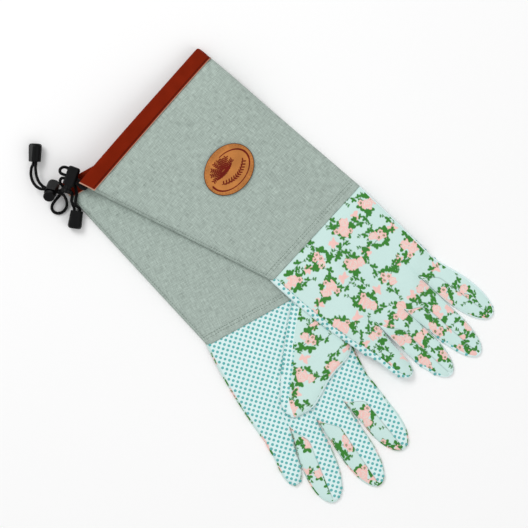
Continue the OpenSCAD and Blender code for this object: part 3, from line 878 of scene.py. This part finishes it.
# ---------- materials in use ----------
COTTON = floral_print()
CANVAS = cloth_material("canvas", (164, 178, 170), pitch=0.85, contrast=0.2, bump=0.5, threads=0.95,
                        shade=0.12, slubby=0.6)
FLORAL = cloth_material("floral_cotton", contrast=0.06, bump=0.3)
DOTTED = cloth_material("grip_print_cotton", contrast=0.06, bump=0.3)
THREAD = cloth_material("sewing_thread", (118, 132, 122), pitch=0.4, contrast=0.2, bump=0.3)
RUST_THREAD = cloth_material("rust_thread", (52, 10, 4), pitch=0.4, contrast=0.2, bump=0.3)
GRIP = speckled_material("grip_dot_rubber", 0.6, 700.0, 3.0, srgb(78, 168, 168), srgb(104, 188, 185),
                         (0.2, 0.5), (700.0, 0.2))
PLASTIC = speckled_material("moulded_plastic", 0.34, 160.0, 4.0, srgb(2, 2, 3), srgb(7, 7, 8),
                            (0.3, 0.26), (2200.0, 0.12), Specular_IOR_Level=0.15)


# ---------- sewing ----------
def stitches(name, lines, width, length=2.1, gap=0.8):
    """Thread laid in stitches along lines of points in the row frame."""
    points, faces, flat, start = [], [], [], 0
    sides, rings = 6, 5
    a = np.arange(sides) * TAU / sides
    taper = array([0.45, 0.9, 1, 0.9, 0.45])
    last = (rings - 1) * sides
    first_cap, last_cap = [[1, 0, 5, 2], [2, 5, 4, 3]], array([[0, 1, 2, 5], [5, 2, 3, 4]]) + last
    stitch = concatenate([grid_faces(rings, sides, wrap=True), first_cap, last_cap])
    for line in lines:
        run = run_along(line)
        for s in np.arange(gap, run[-1] - length, length + gap):
            at = s + linspace(0, length, rings)
            path = on_path(at, run, line)
            path[:, 2] += 0.12 * np.sin(linspace(0, pi, rings)) - 0.05
            ring, unrolled = rings_round(path, at, a, width / 2, taper)
            points.append(ring)
            flat.append(unrolled)
            faces.append(stitch + start)
            start += rings * sides
    return make_mesh(name, concatenate(points), faces, concatenate(flat))


# ---------- cuffs ----------
def cuff_surface(g, u, t, upper):
    """Points of a cuff's layer, the wrist end a little over the hand."""
    x, y = cuff_at(g, u, t)
    if not upper:
        return x, y, 0.95 + rest_h(g, x, y, 1)
    edge = minimum(u, 1 - u) * lerp(WRIST_W, g.mouth_w, t)
    hem = ease(-y / 3.0 + 1.2)
    seam = seam_dip(edge - 3.0, 0.35, 1.4) + seam_dip(-y - 6.6, 0.3, 1.6) + seam_dip(-y - 3.6, 0.3, 1.2)
    slack = ripple(x, y, 1.0) * ease(edge / 14) * ease(-y / 26 + 0.2)
    slack = slack - 0.55 * ease((t - CANVAS_SHARE) * 80 + 1)
    top = cuff_top(g, u, t) + seam * (edge > 1) + slack - 0.7 * (1 - hem) - 0.35 * (1 - ease(edge / 1.5))
    return x, y, top + rest_h(g, x, y, 1)


def cuff_stitches(g):
    """Two rows of stitches at the wrist and one down the little finger's side."""
    lines = []
    for back in (3.6, 6.6):
        u = linspace(0.03, 0.97, 160)
        lines.append(g.world(*cuff_surface(g, u, u * 0 + back / CUFF_LEN, True)))
    t = linspace(0.02, CANVAS_SHARE, 200)
    lines.append(g.world(*cuff_surface(g, 1 - 3 / lerp(WRIST_W, g.mouth_w, t), t, True)))
    obj = stitches(g.side + "_cuff_stitching", lines, 0.55)
    return dress(obj, "canvas", THREAD)


def make_cuff(g, upper):
    """A cuff's upper or lower layer of canvas, from over the hand to under the band."""
    u, t = meshgrid(linspace(0, 1, 170), linspace(-OVERLAP / CUFF_LEN, CANVAS_SHARE + 0.02, 192))
    u = lerp(u, 0.5 - 0.5 * np.cos(u * pi), 0.35)
    name = g.side + ("_cuff_upper" if upper else "_cuff_lower")
    obj = make_cloth(name, g, [(*cuff_surface(g, u, t, upper), None, True)])
    node = g.side + ("_cuff_palm" if upper == (g is LEFT) else "_cuff_back")
    dress(obj, "canvas", CANVAS, node, thick=0.7)
    lay_sheet([cuff_at(g, u, t)], [cuff_stitches(g)] if upper else [])


# ---------- bands ----------
def band_loop(g, n):
    """Shares across the mouth and angles round its thumb's side, for a loop open at the other side."""
    inset = (LOOP_R + CASING_H / 2) / g.mouth_w
    straight = linspace(0.995, inset, n)
    turn = linspace(0, pi, 24)[1:-1]
    u = concatenate([straight, inset - LOOP_R * np.sin(turn) / g.mouth_w, straight[::-1]])
    a = concatenate([0 * straight, turn, 0 * straight + pi])
    return u, a


# The band's section: share of its width, then height over the casing's middle.
BAND_SECTION = array([(-0.01, 1.85), (0.0, 2.1), (0.04, 2.1), (0.10, 1.95), (0.13, 1.7), (0.16, 1.95),
                      (0.22, 2.1), (0.34, 2.05), (0.44, 2.1), (0.54, 2.1), (0.64, 2.1), (0.74, 2.0),
                      (0.84, 1.85), (0.92, 1.55), (0.965, 1.1), (0.99, 0.6), (1.0, 0.0)])
BAND_THICK, BAND_SEAM = 2.1, 0.13
RUST, CUT_EDGE = (119, 31, 10), (196, 150, 128)


def make_band(g):
    """The rust band folded over the mouth, its row of stitches on each side."""
    u, a = band_loop(g, 230)
    knots, fine = linspace(0, 1, len(BAND_SECTION)), linspace(0, 1, 44)
    v, h = (np.interp(fine, knots, BAND_SECTION[:, k]) for k in (0, 1))
    v, h = concatenate([v, v[-2::-1]]), concatenate([h, -h[-2::-1]])
    u, v = meshgrid(u, v, indexing="ij")
    a, h = meshgrid(a, h, indexing="ij")
    x, y = cuff_at(g, u, CANVAS_SHARE + v * BAND_W / CUFF_LEN)
    pucker = 0.22 * np.sin(x * 1.15 + 2 * noise(x, y, 9)) * np.exp(-((v - 0.2) / 0.12) ** 2)
    pucker += -0.25 * noise(x, y * 0.4, 6) * ease(v * 5)
    h = minimum(h * (1 + (pucker / BAND_THICK) * (h > 0)), BAND_THICK)
    z = rest_h(g, x, y, 0) + MOUTH_H / 2 + (LOOP_R + h) * np.cos(a)
    x = x - np.sin(a) * h
    shades = srgb(*RUST) * (0.92 + 0.16 * noise(x, y, 7))[..., None]
    shades = shades * (1 - 0.45 * np.exp(-((v - 0.125) / 0.03) ** 2))[..., None]
    shades[(v < 0.025) | (u > 0.99)] = srgb(*CUT_EDGE)
    band = make_mesh(g.side + "_band", g.world(x, y, z).reshape(-1, 3), [grid_faces(*u.shape)[:, ::-1]],
                     stack([x, y + v * 3], -1).reshape(-1, 2), shades.reshape(-1, 3))
    dress(band, "band", BAND_PRINTED, g.side + "_cuff_binding", thick=0.5)
    s = linspace(0.02, 0.985, 240)
    x, y = cuff_at(g, s, CANVAS_SHARE + BAND_SEAM * BAND_W / CUFF_LEN + 0 * s)
    lines = [g.world(x, y, rest_h(g, x, y, 0) + MOUTH_H / 2 + layer * (LOOP_R + 1.75)) for layer in (1, -1)]
    thread = stitches(g.side + "_band_stitching", lines, 0.5, 1.9, 0.7)
    dress(thread, "band", RUST_THREAD)


def make_casing_cord(g):
    """The drawcord inside the band, seen at its open ends."""
    path = [casing_point(g, s, -1) for s in linspace(CASING_OUT, CASING_IN, 60)]
    for turn in linspace(0, pi, 14)[1:-1]:
        path.append(casing_point(g, CASING_IN - LOOP_R * sin(turn) / g.mouth_w, -cos(turn)))
    path += [casing_point(g, s, 1) for s in linspace(CASING_IN, CASING_OUT, 60)]
    cord = tube(g.side + "_casing_cord", smooth_path(path, 1.2)[0], CORD_D / 2 - 0.25)
    dress(cord, "cord", BRAID, g.side + "_drawcord")


BAND_PRINTED = cloth_material("rust_canvas", pitch=0.75, contrast=0.22, bump=0.5, shade=0.12, sheen=0.02)
for g in (LEFT, RIGHT):
    for upper in (False, True):
        make_cuff(g, upper)
    make_band(g)
    make_casing_cord(g)


# ---------- hands ----------
DOT_R, DOT_PITCH, DOT_SIDES, DOT_REACH = 1.5, 4.6, 12, 260


def dot_shape():
    """A dot's points round its middle, and its faces."""
    rings = [(1.0, -0.12), (0.93, 0.12), (0.72, 0.26), (0.38, 0.33)]
    a = np.arange(DOT_SIDES) * TAU / DOT_SIDES
    points = [(r * DOT_R * cos(b), r * DOT_R * sin(b), h) for r, h in rings for b in a]
    top = (len(rings) - 1) * DOT_SIDES
    cap = [[top + k, top + (k + 1) % DOT_SIDES, len(points)] for k in range(DOT_SIDES)]
    return array(points + [(0, 0, 0.35)]), grid_faces(len(rings), DOT_SIDES, wrap=True), array(cap)


def surface_slopes(x, y, z):
    """The surface's slope along x and y at each point of a grid."""
    (xu, xv), (yu, yv), (zu, zv) = (np.gradient(a) for a in (x, y, z))
    det = xu * yv - xv * yu
    det = np.where(np.abs(det) < 1e-9, 1e-9, det)
    sx, sy = (zu * yv - zv * yu) / det, (zv * xu - zu * xv) / det
    return clip(sx, -1.2, 1.2), clip(sy, -1.2, 1.2)


def grip_dots(name, g, x, y, z, wanted, phase=(0, 0), turn=45.0, down=False):
    """Rubber dots on a surface given as grids, on a square lattice, where wanted is true."""
    spots = stack([x[wanted], y[wanted]], 1)
    heights, slopes = z[wanted], [slope[wanted] for slope in surface_slopes(x, y, z)]
    tree = kdtree.KDTree(len(spots))
    for k, spot in enumerate(spots):
        tree.insert((*spot, 0), k)
    tree.balance()
    low, high = spots.min(axis=0), spots.max(axis=0)
    c, s = cos(radians(turn)), sin(radians(turn))
    dot, sides, cap = dot_shape()
    points, faces, start = [], [], 0
    reach = range(-int(DOT_REACH / DOT_PITCH), int(DOT_REACH / DOT_PITCH))
    for i, j in itertools.product(reach, reach):
        u, v = i * DOT_PITCH + phase[0], j * DOT_PITCH + phase[1]
        px, py = u * c - v * s, u * s + v * c
        if not (low[0] < px < high[0] and low[1] < py < high[1]):
            continue
        _, k, gap = tree.find((px, py, 0))
        if gap > 0.75:
            continue
        tilt = dot[:, 0] * slopes[0][k] + dot[:, 1] * slopes[1][k]
        rise = heights[k] + tilt + dot[:, 2] * (-1 if down else 1)
        points.append(stack([px + dot[:, 0], py + dot[:, 1], rise], 1))
        faces += [sides + start, cap + start]
        start += len(dot)
    p = concatenate(points)
    obj = make_mesh(name, g.world(p[:, 0], p[:, 1], p[:, 2]), faces if down else [f[:, ::-1] for f in faces])
    return dress(obj, "dotted", GRIP)


def seam_shaded(colours, edge):
    """The print's colours, with painted shade darkening the crease of a seam."""
    return lambda x, y: colours(x, y) * (1 - 0.3 * np.exp(-(edge / 0.45) ** 2)).reshape(-1, 1)


COTTONS = {"floral": (FLORAL, floral_colours), "dotted": (DOTTED, dotted_colours)}


def sew(g, part, kind, node, grids, dots=()):
    """A panel of printed cotton from its grids (x, y, z, colours, facing up), lying on another piece."""
    obj = dress(make_cloth(g.side + part, g, grids), kind, COTTONS[kind][0], g.side + node)
    lay_sheet([grid for grid in grids if grid[-1]], dots)


# Shares across and along the right hand, then each finger, past which the lower panel's dots show at the rim.
RIM_FROM, RIM_START = (0.95, 1, 0.86, 0.86, 0.74), (-1, -1, 0.35, 0.35, -1)


def make_hand_lower(g, kind, node):
    """The panel under the hand, which comes up round its edges."""
    grids, dots = [], []
    for k, (x, y, top, share) in enumerate(whole_patches(g, 0.8)):
        z = shell_z(g, x, y, top)
        under = np.where(top < 2.05, 0.9, 0.25) + rest_h(g, x, y, 1)
        grids += [(x, y, z, COTTONS[kind][1], True), (x, y, under, COTTONS[kind][1], False)]
        if kind == "dotted":
            begun = linspace(0, 1, len(share))[:, None] > RIM_START[k]
            shown = (share > RIM_FROM[k]) & (top > 2.3) & begun
            if shown.any():
                dots.append(grip_dots(f"right_rim_dots_{k}", g, x, y, z, shown))
            dots.append(grip_dots(f"right_palm_dots_{k}", g, x, y, under, top > 3.2, down=True))
    sew(g, "_hand_lower", kind, node, grids, dots)


def make_hand_upper(g, kind, node, step, insets):
    """The panel on top of the hand."""
    grids, dots = [], []
    for k, (x, y, top, edge) in enumerate(hand_patches(g, step, *insets)):
        z = panel_z(g, x, y, top, edge)
        grids.append((x, y, z, seam_shaded(COTTONS[kind][1], edge), True))
        if kind == "dotted":
            dots.append(grip_dots(f"left_palm_dots_{k}", g, x, y, z, edge > 1.0))
    sew(g, "_hand_upper", kind, node, grids, dots)


def make_side_strips(g, insets):
    """The floral strips between the fingers."""
    for f, finger in enumerate(("index", "middle", "ring")):
        x, y, top, edge = side_patch(g, f, 0.52, insets[f])
        colours = seam_shaded(lambda x, y: floral_colours(x, y, (40, 90), 0.6), edge)
        sew(g, "_side_" + finger, "floral", "_fourchette_" + finger,
            [(x, y, panel_z(g, x, y, top, edge), colours, True)])


make_hand_lower(LEFT, "floral", "_back_panel")
make_hand_upper(LEFT, "dotted", "_palm_panel", 0.8, (1.2, 1.6))
make_side_strips(LEFT, (0.6, 0.6, 0.6))
make_hand_lower(RIGHT, "dotted", "_palm_panel")
make_hand_upper(RIGHT, "floral", "_back_panel", 0.54, (1.0, 5.0))
make_side_strips(RIGHT, (0.6, 2.6, 2.6))


# ---------- thumbs ----------
THUMB_L, THUMB_W, TIP_FROM, TIP_EDGE = 125, 48, 0.86, 118


def thumb_grid(low, high, step, margin):
    """A grid between a thumb's two outlines, rounded at its tip, and the distance to its border."""
    t, s = linspace(0, 1, int(THUMB_L / step)), linspace(0, 1, int(THUMB_W / step))

    def outline(points):
        line = smooth_path([(*p, 0) for p in points], 0.5)[0]
        return on_path(t, linspace(0, 1, len(line)), line)[:, :2]

    a, b = outline(low), outline(high)
    round_tip = np.sqrt(clip(1 - unit((t - TIP_FROM) / (1 - TIP_FROM)) ** 2.2, 0, 1)) * 0.9 + 0.1
    mid, half = (a + b) / 2, (b - a) / 2 * round_tip[:, None]
    half = half * (1 - margin / norm(half, axis=1, keepdims=True))
    q = mid[:, None] + half[:, None] * (2 * s[None, :, None] - 1)
    edge = minimum(s, 1 - s)[None] * (2 * norm(half, axis=1))[:, None]
    return q[..., 0], q[..., 1], minimum(edge, (1 - t)[:, None] * TIP_EDGE)


def thumb_bed(g, x, y):
    return hand_top(g, x, y) + 0.1 if g is LEFT else rest_h(g, x, y, 0)


def thumb_top(x, y, edge, bed, lift):
    fullness = dome(edge / 9)
    return bed + 0.9 + (THUMB_H - 0.9) * fullness + lift + ripple(x, y, 0.7) * fullness


def make_thumb_strip(g):
    """The dotted piece of a folded thumb, under the wedge and showing beside it."""
    shifted = [(x + THUMB_STRIP * 0.8, y - THUMB_STRIP * 0.55) for x, y in THUMB_LOW]
    x, y, edge = thumb_grid(shifted, THUMB_HIGH, 0.8, 0.0)
    bed = thumb_bed(g, x, y)
    top, dots = thumb_top(x, y, edge, bed, -0.15), []
    if g is LEFT:
        shown = linspace(0, 1, x.shape[1])[None] * THUMB_W < THUMB_STRIP + 6
        dots = [grip_dots("left_thumb_dots", g, x, y, top, (edge > 0.6) & shown, phase=(1.5, 0.8), turn=52)]
    sew(g, "_thumb_strip", "dotted", "_thumb_palm",
        [(x, y, top, dotted_colours, True), (x, y, bed, dotted_colours, False)], dots)


def make_thumb_wedge(g):
    """The floral piece of a folded thumb."""
    x, y, edge = thumb_grid(THUMB_LOW, THUMB_HIGH, 0.52, 0.9)
    top = thumb_top(x, y, edge, thumb_bed(g, x, y), 0.35) + seam_dip(edge, 0.5)
    sew(g, "_thumb_wedge", "floral", "_thumb_back",
        [(x, y, top, lambda x, y: floral_colours(x, y, (70, 30), -0.8), True)])


for g in (LEFT, RIGHT):
    make_thumb_strip(g)
    make_thumb_wedge(g)

# ---------- hardware ----------
STEEL = speckled_material("spring_wire", 0.3, 900.0, 3.0, srgb(150, 152, 156), srgb(205, 207, 210),
                          (0.2, 0.2), Metallic=1.0)
SPRING_FROM, SPRING_TO, SPRING_R, WIRE_R, TURNS, PRESS = 2.0, 7.6, 3.0, 0.4, 4, 3.2


def make_spring(side):
    """The coil spring in a lock's barrel, built at one length, with a mesh of its own; the real spring
    shortens as the plunger is pressed.
    """
    lock = LOCKS[side]
    foot = lock_at(lock, SPRING_FROM, 0)
    axis, across = lock_at(lock, SPRING_FROM + 1, 0) - foot, lock_at(lock, SPRING_FROM, 1) - foot
    run = linspace(WIRE_R, SPRING_TO - SPRING_FROM - WIRE_R, 140)[:, None]
    turn = linspace(0, TURNS * TAU, 140)[:, None]
    path = foot + run * axis + SPRING_R * (np.cos(turn) * across + np.sin(turn) * np.cross(axis, across))
    coil = dress(tube(side + "_spring", path, WIRE_R, 10), "spring", STEEL, side + "_lock_spring")
    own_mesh(coil)


for side in ("left", "right"):
    for part in ("_lock_barrel", "_lock_plunger", "_cord_end"):
        materials = frame["nodes"][side + part].data.materials
        materials.clear()
        materials.append(PLASTIC)
    make_spring(side)

# ---------- badge ----------
TAN, BURNT, HOLE_SHADE_TAN, RIM_BROWN = (190, 122, 62), (108, 18, 2), (150, 84, 40), (96, 48, 22)
BADGE_LONG, BADGE_WIDE, BADGE_T, BADGE_TURN, BADGE_SIDES = 28, 22.5, 1.6, 182.8, 360
ART_X, ART_Y, ART_SEED = 32.0, 25.0, 3  # the drawing's middle, and the seed of its random draws


def badge_artwork():
    """The patch's burnt-in drawing: an oval line, a potted plant and a leafy sprig under it."""
    p = Print(2 * ART_X, 2 * ART_Y, 0.12, TAN, ART_SEED)
    for a in linspace(0, TAU, 300, endpoint=False):
        if not 1.45 < a < 3.0:
            r = 0.5 + 0.45 * abs(cos(a)) ** 3
            p.oval(ART_X + 23.6 * cos(a), ART_Y - 1 + 16.0 * sin(a), r, r, 0, BURNT)
    # A ring of needle holes near the rim: dots in painted shade, darker than the leather, with only a slight
    # dent.
    for a in linspace(0, TAU, 46, endpoint=False):
        p.oval(ART_X + 26.2 * cos(a), ART_Y + 20.4 * sin(a), 0.42, 0.42, 0, HOLE_SHADE_TAN)
    pot_x, pot_y = ART_X - 4.5, ART_Y + 2.5
    for angle in linspace(0.25, pi - 0.25, 8):
        reach = 11 + 0.8 * abs(cos(angle)) + p.vary(-0.8, 0.8)
        stem, way = curve(pot_x + 2.0 * cos(angle), pot_y, angle, reach, p.vary(-0.4, 0.4), 7)
        p.stroke(stem, 0.75, BURNT)
        for k in range(1, 7):
            for side in (-0.9, 0.9):
                p.petal(*stem[k], way[k] + side, 1.3, 1.5, 0.62, way[k] + side, BURNT)
    for k in range(7):
        half, y = 11 - 0.3 * k * k, pot_y - 0.6 * k
        p.stroke([(pot_x - half, y), (pot_x + half, y)], 0.75 if k < 5 else 0.4, BURNT)
    u = linspace(-16, 16, 120)
    sprig = stack([ART_X + u, ART_Y + (-10 + 0.022 * u ** 2)], 1)
    p.stroke(sprig, 0.7, BURNT)
    for k in range(5, 118, 10):
        for side in (-1, 1):
            p.oval(*(sprig[k] + (1.2, 1.2 * side)), 1.8, 0.7, side * 0.8, BURNT)
    return p


def make_badge():
    """The leather patch, which lies along the slope of the cuff under it."""
    rings = concatenate([linspace(0, 0.93, 80)[1:], linspace(0.935, 1, 12)])
    a, r = meshgrid(np.arange(BADGE_SIDES) * TAU / BADGE_SIDES, rings)
    u, v = BADGE_LONG * r * np.cos(a), BADGE_WIDE * r * np.sin(a)
    paint = badge_artwork().sample(u + ART_X, v + ART_Y)
    burnt = ease((srgb(*TAN)[0] - paint[..., 0]) / (srgb(*TAN)[0] - srgb(*BURNT)[0]))
    rim = ease((r - 0.955) / 0.035)[..., None]
    worn = 0.18 * noise(u + 50, v, 2.2)[..., None] * (r[..., None] > 0.8)
    shade = 0.86 + 0.26 * noise(u, v, 7)[..., None] - worn
    paint = lerp(paint * shade, srgb(*RIM_BROWN), rim).reshape(-1, 3)
    z = BADGE_T * (0.80 + 0.14 * (1 - r ** 2)) - 0.22 * burnt + 0.06 * noise(u, v, 3)
    z = z * dome((1 - r) / 0.035 + 0.02)
    low, high = (array(c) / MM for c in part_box("right_badge"))
    middle = ((low + high) / 2)[:2]
    here = RIGHT.local(middle)
    bed = lambda dx, dy: float(rest_h(RIGHT, here[0] + dx, here[1] + dy, 1) + cuff_h(here[1] + dy))
    slope = array([(bed(27, 0) - bed(-27, 0)) / 54, (bed(0, 22) - bed(0, -22)) / 44])
    turn = heading(BADGE_TURN)[0]
    ahead = RIGHT.right * turn[0] + RIGHT.ahead * turn[1]
    across = array([-ahead[1], ahead[0]])
    p = np.multiply.outer(u, ahead) + np.multiply.outer(v, across) + middle
    px, py = RIGHT.local(p)
    lift = bed(0, 0) + 2 * CLEAR + (px - here[0]) * slope[0] + (py - here[1]) * slope[1]
    points = concatenate([p, (lift + z)[..., None]], -1).reshape(-1, 3)
    flat = stack([u, v], -1).reshape(-1, 2)
    centre = points[:BADGE_SIDES].mean(axis=0, keepdims=True)
    fan = [[k, (k + 1) % BADGE_SIDES, len(points)] for k in range(BADGE_SIDES)]
    faces = grid_faces(*r.shape, wrap=True)[:, ::-1]
    obj = make_mesh("right_patch", concatenate([points, centre]), [faces, fan],
                    concatenate([flat, [[0, 0]]]), concatenate([paint, paint[:1]]))
    dress(obj, "badge", leather_material(), "right_badge")


make_badge()

# ---------- stage and light ----------
FLOOR_HALF, FLOOR_Z = 4000, -0.3
corners = [(FLOOR_HALF * i, FLOOR_HALF * j, FLOOR_Z) for i, j in ((-1, -1), (1, -1), (1, 1), (-1, 1))]
floor = make_mesh("floor", corners, [[(0, 1, 2, 3)]], smooth=False)
floor.data.materials.append(speckled_material("floor", 0.9, 3.0, 2.0, [0.95] * 3, [0.97] * 3))


def area_light(name, place, size, power):
    light = bpy.data.lights.new(name, "AREA")
    light.shape, light.size, light.energy = "SQUARE", size, power
    obj = add_object(name, light)
    obj.location = place
    obj.rotation_euler = (-Vector(place)).to_track_quat("-Z", "Y").to_euler()


area_light("key", (-1.1, 1.2, 1.9), 1.1, 24)
area_light("fill", (1.5, -1.0, 1.8), 1.8, 11)
world = bpy.data.worlds.new("studio")
world.use_nodes = True
sky = world.node_tree.nodes["Background"].inputs
sky["Color"].default_value = (1, 1, 1, 1)
sky["Strength"].default_value = 0.63
scene.world = world
scene.view_settings.view_transform = "Standard"
